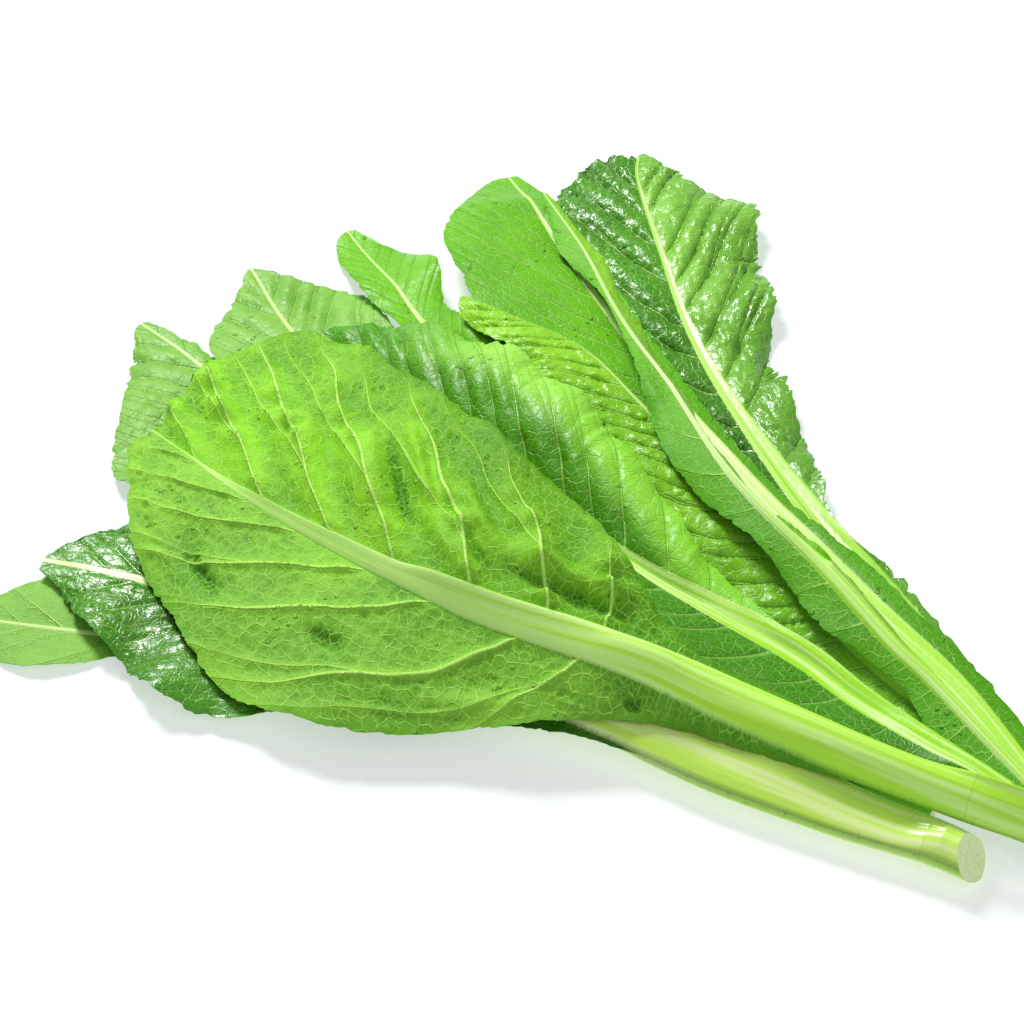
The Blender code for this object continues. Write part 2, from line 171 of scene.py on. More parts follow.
# %% The eleven leaves, from the lowest to the topmost
LEAVES = (
    Leaf(
        name="leaf_far_left",
        spine=((128, -137, 5), (89, -117, 4), (28, -91, 3), (-36, -72, 3), (-101, -61, 3),
               (-147, -56, 3), (-184, -49, 2)),
        reach=((0, 0, 0, 1, 4, 8, 10, 11, 6, 19, 12),
               (0, 0, 0, 1, 6, 18, 28, 33, 32, 26, 5)),
        rib=(13, 6), face=-1, ruffle=2, waves=6,
    ),
    Leaf(
        name="leaf_back",
        spine=((167, -131, 5), (144, -87, 5), (124, -50, 5), (104, -12, 6), (78, 46, 8), (64, 85, 10),
               (56, 123, 12), (48, 168, 12), (48, 184, 11)),
        reach=((0, 1, 2, 3, 10, 24, 36, 43, 44, 44, 37),
               (0, 3, 3, 3, 0, 13, 18, 32, 34, 39, 13)),
        rib=(12, 6), ruffle=4, fold=((10, 10), (10, 14)), curl=((-20, -30), (-20, -30)),
    ),
    Leaf(
        name="leaf_low",
        spine=((138, -156, 9), (128, -150, 8), (100, -137, 6), (70, -121, 5), (40, -104, 5),
               (12, -92, 5), (-23, -78, 5), (-62, -64, 5), (-102, -45, 5), (-133, -35, 5),
               (-153, -28, 4)),
        reach=((0, 0, 2, 3, 4, 10, 20, 38, 40, 28, 9),
               (0, 0, 4, 10, 20, 32, 38, 40, 38, 38, 13)),
        rib=(23, 8.5), waves=8, stem=0.045, heel=4.5, cut_lean=0.5,
    ),
    Leaf(
        name="leaf_upper_left",
        spine=((128, -136, 5), (89, -117, 5), (59, -97, 5), (-4, -46, 5), (-55, 14, 5), (-109, 69, 5),
               (-132, 93, 3)),
        reach=((0, 0, 0, 2, 14, 34, 44, 48, 60, 36, 16),
               (0, 0, 0, 2, 12, 22, 24, 20, 12, 8, 4)),
        rib=(11, 5),
    ),
    Leaf(
        name="leaf_behind",
        spine=((142, -124, 5), (110, -98, 5), (80, -73, 5), (16, -19, 5), (-39, 32, 5), (-76, 83, 4),
               (-95, 123, 3)),
        reach=((0, 0, 0, 2, 12, 26, 34, 36, 34, 31, 8),
               (0, 0, 0, 4, 16, 26, 30, 30, 30, 31, 11)),
        rib=(11, 4.5), ruffle=2, waves=6,
    ),
    Leaf(
        name="leaf_broad",
        spine=((164, -139, 5), (140, -93, 5), (113, -55, 5), (77, 5, 5), (49, 60, 6), (23, 113, 8),
               (0, 174, 8)),
        reach=((0, 0, 0, 6, 22, 38, 47, 50, 40, 40, 27),
               (0, 0, 0, 1, 3, 4, 5, 6, 8, 9, 6)),
        rib=(12, 5), ruffle=1.5, waves=4, fold=((14, 20), (10, 10)), curl=((-10, -24), (-10, -10)),
    ),
    Leaf(
        name="leaf_small",
        spine=((147, -128, 5), (110, -93, 5), (81, -53, 5), (30, 0, 5), (-11, 51, 6), (-31, 83, 8),
               (-46, 115, 10), (-60, 143, 12)),
        reach=((0, 0, 0, 0, 2, 8, 12, 14, 7, 13, 12),
               (0, 0, 0, 0, 2, 6, 10, 14, 9, 19, 6)),
        rib=(8, 4), waves=9,
    ),
    Leaf(
        name="leaf_wrinkled",
        spine=((158, -135, 5), (133, -100, 5), (111, -72, 5), (82, -28, 5), (46, 27, 5), (25, 58, 5),
               (0, 75, 6), (-15, 85, 6)),
        reach=((0, 0, 4, 14, 24, 30, 32, 30, 24, 17, 16),
               (0, 0, 0, 4, 8, 8, 7, 6, 5, 4, 2)),
        rib=(12, 5), fold=((-8, -8), (-50, -50)), ruffle=2, waves=9,
    ),
    Leaf(
        name="leaf_folded",
        spine=((164, -147, 5), (133, -100, 5), (119, -83, 6), (98, -52, 8), (71, -11, 8), (48, 49, 8),
               (36, 83, 8), (26, 118, 6), (13, 152, 4)),
        reach=((0, 12, 5, 11, 7, 13, 11, 4, 1, 8, 3),
               (0, 2, 4, 8, 10, 10, 10, 9, 8, 6, 3)),
        rib=(10, 5), fold=((-20, -20, -14), (-60, -60, -25)), stiff=0.85, ruffle=2, waves=8,
        face=-1,
    ),
    Leaf(
        name="leaf_rolled",
        spine=((149, -140, 5), (111, -104, 5), (91, -82, 5), (61, -58, 5), (35, -36, 5), (-4, 6, 5),
               (-39, 47, 6), (-66, 79, 6)),
        reach=((0, 2, 10, 24, 36, 42, 44, 42, 36, 26, 14),
               (0, 0, 0, 0, 10, 26, 35, 40, 35, 29, 16)),
        rib=(12, 6), fold=((14, 20, 20), (14, 50, 62, 62, 45)),
        curl=((10, 10), (0, -60, -90, -90, -50)), stiff=0.5, ruffle=1.5, waves=9,
    ),
    Leaf(
        name="leaf_front",
        spine=((174, -159, 6), (154, -150, 6), (135, -142, 6), (105, -127, 6), (70, -109, 6),
               (27, -89, 8), (-10, -73, 10), (-33, -59, 12), (-57, -41, 12), (-82, -19, 10),
               (-102, 2, 8), (-121, 25, 6)),
        reach=((0, 0, 0, 3, 8, 28, 52, 56, 46, 33, 24),
               (0, 0, 2, 3, 9, 48, 58, 66, 67, 75, 84)),
        sweep=0.35, rib=(18, 9), stem=0.112, heel=3.5, cut_lean=0.15, face=-1, ruffle=1.6,
        stiff=0.35, fold=((-6, -4), (6, 10)), curl=((-10, -14), (0, -8)),
    ),
)
print("leaves:", len(LEAVES))

# %% What all the leaves share
STATIONS = 33
STALK_COLUMNS = (0.0, 0.42, 0.74, 0.93, 1.0)
BLADE_COLUMNS = (0.0, 0.0, 0.33, 0.68, 1.0)
STATION_CROWDING = 1.4
STEM_STATIONS = 4
BLADE_THICKNESS = 0.9 * MM
RIB_WIDTH_ALONG = (0.64, 0.8, 1.0, 0.78, 0.5, 0.3, 0.18, 0.1)
RIB_DEPTH_ALONG = (0.72, 0.85, 0.95, 0.62, 0.33, 0.18, 0.1, 0.05)
CHANNEL_FOLD = 14.0
TIP_ROUND = 20
TIP_BLUNT = 0.99
MARGIN_TOOTH = 1.1 * MM

# %% [markdown]
# ## The midrib as a smooth curve
# A few points give the run of each midrib. A Bezier curve object could join them, but every later
# step needs the directions along, across and up at any place on the leaf, so the curve is worked
# out with numbers. The same small function also reads widths and angles between their values.

# %% Read a smooth curve
def smooth(values, share):
    """A smooth curve through evenly spaced values, read at each share of its length."""
    values = np.asarray(values, float)
    last = len(values) - 1
    place = np.clip(share, 0, 1) * last
    i = np.minimum(place.astype(int), last - 1)
    x = (place - i).reshape((-1,) + (1,) * (values.ndim - 1))
    before, after = values[np.maximum(i - 1, 0)], values[np.minimum(i + 2, last)]
    start, end = values[i], values[i + 1]
    slope_in, slope_out = (end - before) / 2, (after - start) / 2
    return (
        start * (1 + 2 * x) * (1 - x) ** 2
        + end * x * x * (3 - 2 * x)
        + slope_in * x * (1 - x) ** 2
        - slope_out * x * x * (1 - x)
    )


# %% Follow a midrib
def spine_frame(leaf, share):
    """Points on the spine at shares of its length, and the directions along, aside and up."""
    fine = smooth(np.array(leaf.spine) * MM, np.linspace(0, 1, 241))
    run = np.concatenate([[0], np.cumsum(np.linalg.norm(np.diff(fine, axis=0), axis=1))])
    at = share * run[-1]
    point = np.stack([np.interp(at, run, fine[:, k]) for k in range(3)], 1)
    step = np.gradient(fine, run, axis=0)
    along = np.stack([np.interp(at, run, step[:, k]) for k in range(3)], 1)
    along /= np.linalg.norm(along, axis=1, keepdims=True)
    aside = np.cross(along, (0, 0, 1))
    aside /= np.linalg.norm(aside, axis=1, keepdims=True)
    return point, along, aside, np.cross(aside, along)


# %% [markdown]
# ## The cross-section of a leaf
# Cut across, each half of a leaf is a shallow arc: it leaves the rib at the fold angle and its
# direction changes by the curl on the way to the margin. The stalk has hardly any blade, and its
# section is a channel. The arc is worked out on as many columns as a step needs: five for the
# plain solids, and dozens for the detailed leaf.

# %% How far the blade reaches
def blade_reach(leaf, side, share):
    """How far the blade reaches past the rib. It ends round at the tip."""
    reach = smooth(leaf.reach[side], share) * np.sqrt(1 - (TIP_BLUNT * share) ** TIP_ROUND)
    return MM * np.maximum(reach, 0)


def station_shares(leaf):
    """Where the stations lie along the spine: a few on the stem, then closer towards the tip."""
    u = np.linspace(0, 1, STATIONS)
    blade = leaf.stem + (1 - leaf.stem) * (1 - (1 - u) ** STATION_CROWDING)
    stem = np.linspace(0, leaf.stem, STEM_STATIONS)[:-1]
    return np.concatenate([stem, blade]) if leaf.stem else blade


# %% One half of a leaf
STRAIGHT = 1e-4
NO_LENGTH = 1e-6
FULL_RUFFLE = 20 * MM
HALVES_APART = 1.7
SWEEP_FADE = 10


def half_leaf(leaf, side, share, blade, columns):
    """Points, normals and distance from the midrib of one half, at each station and column."""
    sign = 1 if side else -1
    point, along, aside, up = spine_frame(leaf, share)
    rib = leaf.rib[0] / 2 * MM * smooth(RIB_WIDTH_ALONG, share)
    open_share = np.clip(blade / rib, 0, 1)[:, None]
    spread = np.clip(blade / (3 * rib), 0, 1)[:, None]
    stalk_column = np.interp(columns, np.arange(5), STALK_COLUMNS)
    blade_column = np.interp(columns, np.arange(5), BLADE_COLUMNS)
    out = (
        rib[:, None] * ((1 - open_share) * stalk_column + open_share * np.minimum(columns, 1))
        + blade[:, None] * ((1 - open_share) * stalk_column + open_share * blade_column)
    )
    full = (rib + blade)[:, None]
    channel = leaf.face * CHANNEL_FOLD
    fold = np.radians((1 - spread) * channel + spread * smooth(leaf.fold[side], share)[:, None])
    curl = np.radians(spread * smooth(leaf.curl[side], share)[:, None])
    curl = np.where(np.abs(curl) < STRAIGHT, STRAIGHT, curl)
    angle = fold + curl * out / full
    x = full / curl * (np.sin(angle) - np.sin(fold))
    z = full / curl * (np.cos(fold) - np.cos(angle))
    past_rib = np.clip((out - rib[:, None]) / np.maximum(full - rib[:, None], NO_LENGTH), 0, 1)
    ripple = leaf.ruffle * MM * past_rib**2 * np.clip(blade / FULL_RUFFLE, 0, 1)[:, None]
    wave = np.sin(2 * np.pi * leaf.waves * share + HALVES_APART * side)
    ripple = ripple * wave[:, None]
    sideways, upwards = (sign * aside)[:, None], up[:, None]
    lean = angle * np.clip(out / rib[:, None], 0, 1)
    normals = np.cos(lean)[..., None] * upwards - np.sin(lean)[..., None] * sideways
    points = point[:, None] + x[..., None] * sideways + z[..., None] * upwards
    points += ripple[..., None] * normals
    sweep = leaf.sweep * (1 - share**SWEEP_FADE)[:, None]
    points += (sweep * np.maximum(out - rib[:, None], 0))[..., None] * along[:, None]
    return points, normals, out, rib[:, None] + 0 * out, full + 0 * out


# %% Both halves of a leaf
MARGIN_WAVE = 0.035
MARGIN_WAVES_SHARE = 0.7


def waved_reach(leaf, side, share):
    """The reach of a blade with the slow waves of its margin."""
    turns = leaf.waves * MARGIN_WAVES_SHARE * share
    wave = 1 + MARGIN_WAVE * np.sin(2 * np.pi * turns + 2 * side)
    return blade_reach(leaf, side, share) * wave


def both_halves(leaf, share, blades, columns):
    """The two halves of a leaf side by side, as one grid of each quantity."""
    halves = [half_leaf(leaf, side, share, blades[side], columns) for side in (0, 1)]
    return [np.concatenate([a[:, :0:-1], b], axis=1) for a, b in zip(*halves)]


# %% The upper and lower skin of a leaf
NO_STEM = 0.01
HEEL_RUN = 1.5


def rib_relief(leaf, share, out, rib):
    """How far the rib stands out of its side of the blade."""
    depth = leaf.rib[1] * MM * smooth(RIB_DEPTH_ALONG, share)[:, None]
    return depth * np.sqrt(np.clip(1 - (out / rib) ** 2, 0, 1))


def two_skins(leaf, share, points, normals, relief, thickness, crown=0.0):
    """The skins of a leaf. A leaf on its face has its rib on top, and a crown fills the channel."""
    up_the_stem = share / max(leaf.stem, NO_STEM)
    heel = leaf.heel * MM * np.clip(HEEL_RUN - up_the_stem, 0, 1)[:, None]
    roundness = relief / relief.max(axis=1, keepdims=True)
    smooth_side = thickness / 2 + heel * roundness + crown * relief
    ribbed_side = thickness / 2 + relief
    above, below = (smooth_side, ribbed_side) if leaf.face > 0 else (ribbed_side, smooth_side)
    upper, lower = points + above[..., None] * normals, points - below[..., None] * normals
    cut = leaf.cut_lean * np.clip(1 - up_the_stem, 0, 1)[:, None]
    foot, along = spine_frame(leaf, share)[:2]
    for skin in (upper, lower):
        skin += (cut * (skin[..., 2] - foot[0, 2]))[..., None] * along[0]
    return upper, lower


# %% [markdown]
# ## Laying the leaves on each other
# The leaves lie in a heap, each draped over those below. A cloth simulation could drop them one by
# one, but stalks are stiff and a simulated heap never settles twice alike. Instead each leaf is
# lifted just enough to clear whatever lies under it, with the lift evened out over the leaf, by
# casting rays down on the leaves that are already there. This is done on coarse leaves, which have
# the same few stations and columns as the measured solids, and it gives the same lifts.

# %% The coarse leaf
CLEARANCE = 1.3 * MM
DRAPE_ROUNDS = 22
FINER = 5
RAY_START = 1.0
FLAT_BELOW = 2.4 * MM
FULL_COARSE_TEETH = 8 * MM


def coarse_skins(leaf):
    """A leaf's two skins on its few stations and columns."""
    share = station_shares(leaf)
    blades = []
    for side in (0, 1):
        blade = blade_reach(leaf, side, share)
        teeth = MARGIN_TOOTH * np.where(np.arange(len(share)) % 2, 1, -1)
        teeth = teeth * np.clip(blade / FULL_COARSE_TEETH, 0, 1)
        blades.append(waved_reach(leaf, side, share) + np.where(share < 1, teeth, 0))
    points, normals, out, rib, _ = both_halves(leaf, share, blades, np.arange(5.0))
    relief = rib_relief(leaf, share, out, rib)
    return two_skins(leaf, share, points, normals, relief, BLADE_THICKNESS)


def refined(grid, times):
    """The points of a grid read more finely on its two triangles to a cell."""
    rows, columns = grid.shape[:2]
    row = np.linspace(0, rows - 1, (rows - 1) * times + 1)[:, None]
    column = np.linspace(0, columns - 1, (columns - 1) * times + 1)[None, :]
    i = np.minimum(row.astype(int), rows - 2)
    j = np.minimum(column.astype(int), columns - 2)
    u, v = (row - i)[..., None], (column - j)[..., None]
    near, far, beyond, aside = grid[i, j], grid[i + 1, j], grid[i + 1, j + 1], grid[i, j + 1]
    first = near + (far - near) * u + (beyond - far) * v
    second = near + (beyond - aside) * u + (aside - near) * v
    return np.where(u > v, first, second)


# %% Lift a leaf clear of those below
def height_under(tree, x, y):
    """The height of whatever already lies at a spot, which is the surface where nothing does."""
    hit = tree.ray_cast(Vector((x, y, RAY_START)), Vector((0, 0, -1)))[0] if tree else None
    return hit.z + CLEARANCE if hit else 0.0


def blurred(values):
    """Each value as the mean of itself and its four neighbours."""
    wide = np.pad(values, 1, mode="edge")
    across = wide[1:-1, :-2] + wide[1:-1, 2:]
    return (wide[1:-1, 1:-1] * 2 + wide[:-2, 1:-1] + wide[2:, 1:-1] + across) / 6


def drape(skins, tree, stiff):
    """Lifts both skins of a leaf alike, smoothly, until they clear what lies below, and sinks them
    where they lie clear of it. A stiff leaf is lifted over its whole width."""
    fine = [refined(skin, FINER) for skin in skins]
    needs = []
    for skin in fine:
        needs.append([[height_under(tree, p[0], p[1]) - p[2] for p in row] for row in skin])
    need = np.max(needs, axis=0)
    rows, columns = skins[0].shape[:2]
    wide = np.pad(need, FINER, mode="edge")
    reach = 2 * FINER + 1
    around = np.lib.stride_tricks.sliding_window_view(wide, (reach, reach))[::FINER, ::FINER]
    need = around.max(axis=(2, 3))[:rows, :columns]
    most = need.max(axis=1, keepdims=True)
    need = np.maximum(need, np.where(most > 0, stiff * most, most))
    lift = need
    for _ in range(DRAPE_ROUNDS):
        lift = np.maximum(need, blurred(lift))
    return [skin + lift[..., None] * (0, 0, 1) for skin in skins]


# %% The faces of a slab
def grid_faces(rows, columns):
    """The faces of a closed slab made of an upper grid of points followed by a lower one."""
    count = rows * columns
    index = np.arange(count).reshape(rows, columns)
    corners = [index[:-1, :-1], index[1:, :-1], index[1:, 1:], index[:-1, 1:]]
    cells = np.stack(corners, -1).reshape(-1, 4)
    ring = np.concatenate([index[0, :], index[1:, -1], index[-1, -2::-1], index[-2:0:-1, 0]])
    rim = [(a + count, b + count, b, a) for a, b in zip(np.roll(ring, 1), ring)]
    halves = [(c[0], c[1], c[2]) for c in cells] + [(c[0], c[2], c[3]) for c in cells]
    upper = [tuple(reversed(face)) for face in halves]
    lower = [tuple(i + count for i in face) for face in halves]
    return [tuple(int(i) for i in face) for face in upper + lower + rim]


# %% Lay all the leaves
lifts, laid_points, laid_faces = {}, [], []
for leaf in LEAVES:
    tree = BVHTree.FromPolygons(laid_points, laid_faces) if laid_faces else None
    bare = coarse_skins(leaf)
    skins = drape(bare, tree, leaf.stiff)
    lifts[leaf.name] = (skins[0] - bare[0])[..., 2]
    under_rib = skins[1][:, len(STALK_COLUMNS) - 2 : len(STALK_COLUMNS) + 1, 2]
    under_rib[under_rib < FLAT_BELOW] = 0
    start = len(laid_points)
    laid_points += [tuple(p) for p in np.concatenate([skin.reshape(-1, 3) for skin in skins])]
    laid_faces += [tuple(i + start for i in face) for face in grid_faces(*bare[0].shape[:2])]
laid = np.array(laid_points)
middle = (laid.min(axis=0) + laid.max(axis=0)) / 2 * (1, 1, 0)
print("bunch measures", np.round((laid.max(axis=0) - laid.min(axis=0)) / MM, 1), "mm")
print("middle at", np.round(middle / MM, 2), "mm")

# %% [markdown]
# ## The detail of a leaf
# From here on the leaves get what the plain solids lack. Each leaf has its own look: how many
# stations and columns it is worked out on, how strongly it puckers, how far apart its side veins
# leave the midrib, and the colours of its two sides.

# %% Describe the look of a leaf
class Look(NamedTuple):
    """The finish of a leaf. Lengths are in millimetres, and colours are linear. Pairs of lengths
    are for the left and the right half, and pairs of colours go from the painted shade of hollows
    to the painted light on the parts that stand up."""

    # How finely the leaf is modelled along and across
    rows: int = 200
    columns: int = 44
    # How high the blisters stand
    pucker: float = 0.9
    # The side veins: how far apart they leave the midrib, how high they stand, how far they lean
    # towards the tip, and how much they bend and spread
    vein_gap: float = 15.0
    vein_height: float = 0.45
    vein_slope: tuple = (1.0, 1.0)
    vein_bend: float = 0.009
    vein_fan: float = 0.006
    # The size of the teeth
    tooth: float = 0.8
    # The colours of the upper side and of the underside, and of the left half where it differs
    upper: tuple = ((0.055, 0.26, 0.001), (0.2, 0.56, 0.006))
    under: tuple = ((0.12, 0.38, 0.01), (0.28, 0.62, 0.06))
    left: tuple = ()
    # The width of a band of painted light along the crest at the right margin
    crest: float = 0.0
    # How far the channel of the stalk is filled
    crown: float = 0.0
    # How far each half is drawn forward beside the tip
    shoulder: tuple = (0.0, 0.0)
    # How high the blade is drawn up into folds along its side veins
    gather: tuple = (0.0, 0.0)
    # How much more blade than the plain solid's there is along the stalk
    apron: tuple = (0.0, 0.0)
    # The width of the rib as a share of the plain solid's
    slim: float = 1.0
    # The colour of the veins, and of the stalk and the streaks in it
    vein: tuple = (0.42, 0.76, 0.14)
    stalk: tuple = (0.42, 0.82, 0.05)
    streak: tuple = (0.72, 0.94, 0.36)
    # The strength of the shine, and how rough the upper side is
    shine: float = 0.3
    gloss: float = 0.36
    # Single folds, each along a short line
    creases: tuple = ()


# %% Shades of green, from the painted shade of the hollows to the painted light on the blisters
BRIGHT = ((0.06, 0.3, 0.001), (0.17, 0.56, 0.002))
SUNNY = ((0.1, 0.36, 0.002), (0.3, 0.7, 0.02))
DARK = ((0.014, 0.11, 0.002), (0.08, 0.34, 0.01))
# A deep green that is partly the leaf's own colour and partly painted shade
DEEP_AND_SHADED = ((0.03, 0.19, 0.001), (0.1, 0.4, 0.004))
PALE = ((0.12, 0.36, 0.025), (0.27, 0.58, 0.09))
FRESH = ((0.03, 0.2, 0.001), (0.26, 0.65, 0.02))
LEAFY = ((0.04, 0.23, 0.001), (0.33, 0.72, 0.06))
OLIVE = ((0.06, 0.26, 0.004), (0.28, 0.64, 0.08))

# %% The folds of the front leaf
# Each has its half, where it starts and ends in millimetres along and out from the midrib, its
# height towards the upper side of the leaf, and its width
FRONT_CREASES = (
    (1, (270, 37), (240, 12), 2.64, 1.5),
    (1, (267, 45), (234, 18), -4.16, 2.6),
    (1, (280, 36), (250, 12), -2.88, 3.0),
    (1, (233, 23), (201, 4), 3.08, 1.6),
    (1, (232, 32), (200, 11), -3.84, 3.0),
    (1, (243, 20), (214, 4), -2.24, 2.6),
    (1, (198, 9), (158, 5), 3.3, 2.2),
    (1, (204, 17), (160, 12), -3.84, 3.4),
    (1, (325, 33), (292, 13), 2.64, 2.2),
    (1, (318, 38), (290, 20), -1.92, 3.0),
    (0, (150, 4), (144, 5), 2.64, 2.0),
    (0, (250, 27), (236, 27), 2.86, 2.2),
    (0, (306, 26), (285, 32), 2.64, 2.4),
    (0, (210, 30), (180, 18), -2.4, 4.0),
)

# %% The look of each leaf
# The two light leaves behind the front leaf differ in their teeth only
LIGHT_LEAF = Look(rows=180, columns=36, upper=PALE, under=PALE, gloss=0.42, pucker=1.3, tooth=1.4,
                  gather=(1.2, 1.2))
LOOKS = {
    "leaf_far_left": Look(rows=150, columns=30, under=PALE, pucker=0.7, gloss=0.5),
    "leaf_back": Look(
        rows=240, columns=52, upper=OLIVE, left=DARK, gloss=0.24, shine=0.5, pucker=2.6, tooth=2.2,
        vein_gap=19, gather=(1.5, 1.5), stalk=(0.3, 0.68, 0.01), streak=(0.55, 0.88, 0.2),
    ),
    "leaf_low": Look(
        rows=230, columns=42, upper=DARK, gloss=0.24, shine=0.5, pucker=1.3, tooth=1.1, crown=0.45,
        # The stalk is painted paler than its own green, partly as painted light against the front
        # leaf's shadow on it
        apron=(-4.0, 0.0), stalk=(0.6, 0.94, 0.12), streak=(0.82, 0.98, 0.42),
    ),
    "leaf_upper_left": LIGHT_LEAF,
    "leaf_behind": LIGHT_LEAF._replace(tooth=1.3),
    "leaf_broad": Look(
        rows=210, columns=48, upper=BRIGHT, pucker=0.5, vein_gap=17, gloss=0.4, apron=(8.0, 6.0),
    ),
    "leaf_small": Look(rows=170, columns=34, upper=BRIGHT, pucker=0.6, vein_gap=9),
    "leaf_wrinkled": Look(
        rows=220, columns=44, upper=SUNNY, pucker=2.2, vein_gap=10, gloss=0.28, apron=(11.0, 0.0),
    ),
    "leaf_folded": Look(
        rows=230, columns=36, upper=SUNNY, under=SUNNY, left=BRIGHT, pucker=0.4, slim=0.5,
        apron=(0.0, -12.0), gloss=0.45, streak=(0.7, 0.93, 0.4),
    ),
    # The rolled leaf is painted dark, partly as painted shade under the front leaf
    "leaf_rolled": Look(
        rows=260, columns=50, upper=DEEP_AND_SHADED, left=DEEP_AND_SHADED, crest=20.0, apron=(11.0, 0.0),
        gather=(0.0, 1.2), pucker=0.7, tooth=1.2, slim=0.85, gloss=0.34, stalk=(0.34, 0.78, 0.01),
    ),
    "leaf_front": Look(
        rows=330, columns=76, pucker=1.5, under=FRESH, left=LEAFY, vein=(0.5, 0.87, 0.16),
        vein_gap=27, vein_height=0.9, vein_slope=(1.2, 0.9), shine=0.15, shoulder=(0.0, 15.0),
        gather=(0.9, 4.5), stalk=(0.46, 0.86, 0.06), streak=(0.64, 0.98, 0.28), vein_bend=0.008,
        vein_fan=0.014, slim=0.76, gloss=0.46, creases=FRONT_CREASES,
    ),
}
print("looks:", {name: (look.rows, look.columns) for name, look in LOOKS.items()})

# %% [markdown]
# ## Stations and columns of the detailed leaf
# A bare stalk needs few stations and a blade needs many, so the stations are spread by the width
# of the blade. Across the leaf, a seventh of the columns round off the rib and the rest lie evenly
# on the blade. A subdivision modifier could add the points too, but it would also round off the
# teeth and the rib.

# %% Spread stations and columns
RIB_SHARE = 0.14
STALK_DENSITY = 0.3
WIDE_BLADE = 22 * MM


def spread_stations(leaf, look):
    """Shares of the leaf's length, crowded where the blade is wide."""
    share = np.linspace(0, 1, 400)
    width = blade_reach(leaf, 0, share) + blade_reach(leaf, 1, share)
    density = STALK_DENSITY + np.clip(width / WIDE_BLADE, 0, 1)
    run = np.concatenate([[0], np.cumsum((density[1:] + density[:-1]) / 2)])
    return np.interp(np.linspace(0, run[-1], look.rows), run, share)


def spread_columns(look):
    """Column places from 0 at the midrib to 4 at the margin, with some of them on the rib."""
    rib = max(4, round(look.columns * RIB_SHARE))
    return np.concatenate([np.linspace(0, 1, rib + 1), np.linspace(1, 4, look.columns - rib)[1:]])


# %% [markdown]
# ## Toothed margins
# The margin of a mustard leaf runs in shallow lobes, and each lobe carries a few small teeth. The
# lobes are the humps of a sine, so they meet in sharp notches, and the teeth lean towards the tip.
# Both are slightly uneven, because a seeded random shift moves them along the margin.

# %% Random waves that repeat on each run
def wander(place, length, seed):
    """A slow random wave of about plus or minus one along a line."""
    draw = np.random.default_rng(seed)
    waves = [
        np.sin(2 * np.pi * place / (length * stretch) + turn)
        for stretch, turn in zip(draw.uniform(0.7, 1.9, 4), draw.uniform(0, 6.3, 4))
    ]
    return sum(waves) / 2


def cells(x, y, seed):
    """Distances to the nearest and the next of a scatter of one point to each unit square."""
    i, j = np.floor(x).astype(int), np.floor(y).astype(int)
    nearest, next_one = np.full(x.shape, 9.0), np.full(x.shape, 9.0)
    for step_i in (-1, 0, 1):
        for step_j in (-1, 0, 1):
            column, row = i + step_i, j + step_j
            key = (column * 73856093) ^ (row * 19349663) ^ (seed * 83492791)
            shift_x = (key * 2654435761 % 4294967296) / 4294967296
            shift_y = (key * 2246822519 % 4294967296) / 4294967296
            far = np.hypot(column + 0.15 + 0.7 * shift_x - x, row + 0.15 + 0.7 * shift_y - y)
            next_one = np.minimum(next_one, np.maximum(nearest, far))
            nearest = np.minimum(nearest, far)
    return nearest, next_one


# %% Lobes and teeth
LOBE_LENGTH = 12.0
TOOTH_LENGTH = 4.2


def margin_teeth(run, look, seed):
    """How far the margin stands out, in millimetres, at a run in millimetres along it."""
    lobe = np.abs(np.sin(np.pi * (run / LOBE_LENGTH + 0.35 * wander(run, 30, seed)))) - 0.64
    place = (run / TOOTH_LENGTH + 0.4 * wander(run, 13, seed + 1)) % 1
    tooth = np.where(place < 0.7, place / 0.7, (1 - place) / 0.3) - 0.5
    strength = 0.75 + 0.35 * wander(run, 40, seed + 2)
    return look.tooth * strength * (1.3 * lobe + 0.8 * tooth)


# %% [markdown]
# ## Veins and puckers
# Side veins leave the midrib every centimetre or two and bend towards the tip. Between them the
# blade grows faster than its veins and puckers into blisters, which bulge on the upper side and
# are hollow below. A picture of the veins could be painted, but the relief has to be real, so both
# are worked out from a vein coordinate that is a whole number on every side vein.

# %% The vein coordinate
VEIN_MIDDLE = 0.6
SPARE_VEINS = 12
VEIN_SHIFT = 0.3


def vein_phase(look, side, along_mm, out_mm, seed):
    """A number that grows by one from each side vein to the next."""
    draw = np.random.default_rng(seed + side)
    count = int(along_mm.max() / look.vein_gap) + 2 * SPARE_VEINS
    number = np.arange(count) - SPARE_VEINS
    place = (number + draw.uniform(-VEIN_SHIFT, VEIN_SHIFT, count)) * look.vein_gap
    slope = look.vein_slope[side] - look.vein_fan * VEIN_MIDDLE * along_mm.max()
    v = (along_mm - slope * out_mm - look.vein_bend * out_mm**2) / (1 + look.vein_fan * out_mm)
    v = v + 1.1 * wander(out_mm + 0.5 * along_mm, 42, seed + 5) * np.clip(out_mm / 14, 0, 1)
    return np.interp(v, place, number)


# %% Side veins that fork
FORK_START = (6.0, 26.0)
FORK_RUN = 34.0
FORK_OPEN = 0.55
FORK_GAP = 17


def fork_share(look, phase, out_mm, seed):
    """How far the upper branch of each side vein has moved over towards the next vein."""
    draw = np.random.default_rng(seed + 70).uniform(*FORK_START, 200)
    start = draw[(np.floor(phase).astype(int) + 40) % 200] * look.vein_gap / FORK_GAP
    return FORK_OPEN * np.clip((out_mm - start) / FORK_RUN, 0, 1) ** 0.8


# %% The relief of the blade
GATHER_OUT = 0.75
PUCKER_CELL = 6.5
SMALL_PUCKER_CELL = 3.2


def blisters(along_mm, out_mm, cell, shift, seed):
    """Round blisters of one size, from 0 between them to 1 on top."""
    near, far = cells(along_mm / cell, out_mm / cell + shift * seed, seed)
    return np.clip((far - near) * 1.5, 0, 1) ** 0.6


